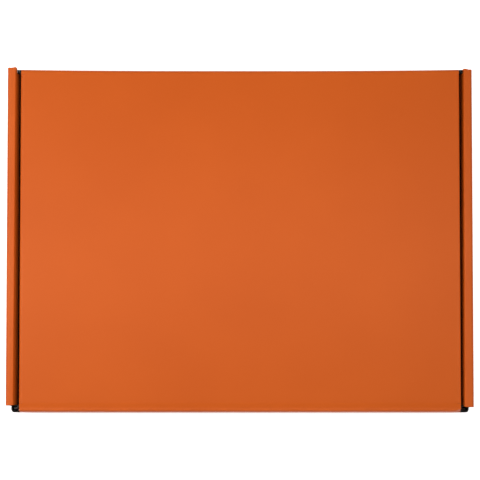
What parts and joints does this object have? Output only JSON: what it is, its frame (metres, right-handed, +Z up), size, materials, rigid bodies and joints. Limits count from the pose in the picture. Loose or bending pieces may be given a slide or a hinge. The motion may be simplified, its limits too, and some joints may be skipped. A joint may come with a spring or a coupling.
{
  "type": "roll-over mailer carton",
  "caption": "Closed corrugated mailing carton with a hinged lid, dust flaps, roll-over side walls and an outside front flap with lock ears.",
  "frame": {"origin": "under the middle of the closed carton's bounding box, on the surface it stands on", "axes": "+X along the carton's width to the right, +Y from the front wall to the lid's back crease, +Z up"},
  "size_m": [0.3206, 0.2372, 0.1061],
  "materials": {
    "printed_board": "matte"
  },
  "bodies": {
    "tray": {"bottom_panel": "printed_board", "bottom_front_fold": "printed_board", "bottom_back_fold": "printed_board", "front_wall": "printed_board", "back_wall": "printed_board", "bottom_side_fold_left": "printed_board", "front_corner_fold_left": "printed_board", "front_corner_flap_left": "printed_board", "back_corner_fold_left": "printed_board", "back_corner_flap_left": "printed_board", "side_wall_outer_left": "printed_board", "side_ridge_left": "printed_board", "side_shoulder_left": "printed_board", "side_wall_inner_left": "printed_board", "bottom_side_fold_right": "printed_board", "front_corner_fold_right": "printed_board", "front_corner_flap_right": "printed_board", "back_corner_fold_right": "printed_board", "back_corner_flap_right": "printed_board", "side_wall_outer_right": "printed_board", "side_ridge_right": "printed_board", "side_shoulder_right": "printed_board", "side_wall_inner_right": "printed_board"},
    "lid": {"lid_panel": "printed_board", "lid_back_fold": "printed_board"},
    "front_flap": {"front_flap": "printed_board", "lid_front_fold": "printed_board", "ear_fold_left": "printed_board", "lock_ear_left": "printed_board", "ear_fold_right": "printed_board", "lock_ear_right": "printed_board"},
    "dust_flap_left": {"dust_flap_left": "printed_board", "dust_flap_fold_left": "printed_board"},
    "dust_flap_right": {"dust_flap_right": "printed_board", "dust_flap_fold_right": "printed_board"}
  },
  "joints": [
    {"name": "lid_hinge", "type": "hinge", "parent": "tray", "child": "lid", "pos_m": [0, 0.11588, 0.10497], "axis": [-1, 0, 0], "range_deg": [0, 170], "deforming": ["lid_back_fold"]},
    {"name": "front_flap_hinge", "type": "hinge", "parent": "lid", "child": "front_flap", "pos_m": [0, -0.11753, 0.10497], "axis": [-1, 0, 0], "range_deg": [0, 110], "deforming": ["lid_front_fold", "lock_ear_left", "lock_ear_right", "ear_fold_left", "ear_fold_right"]},
    {"name": "dust_flap_left_hinge", "type": "hinge", "parent": "lid", "child": "dust_flap_left", "pos_m": [-0.14888, 0.00045, 0.10358], "axis": [0, -1, 0], "range_deg": [0, 85], "deforming": ["dust_flap_fold_left"]},
    {"name": "dust_flap_right_hinge", "type": "hinge", "parent": "lid", "child": "dust_flap_right", "pos_m": [0.14888, 0.00045, 0.10358], "axis": [0, 1, 0], "range_deg": [0, 85], "deforming": ["dust_flap_fold_right"]}
  ]
}
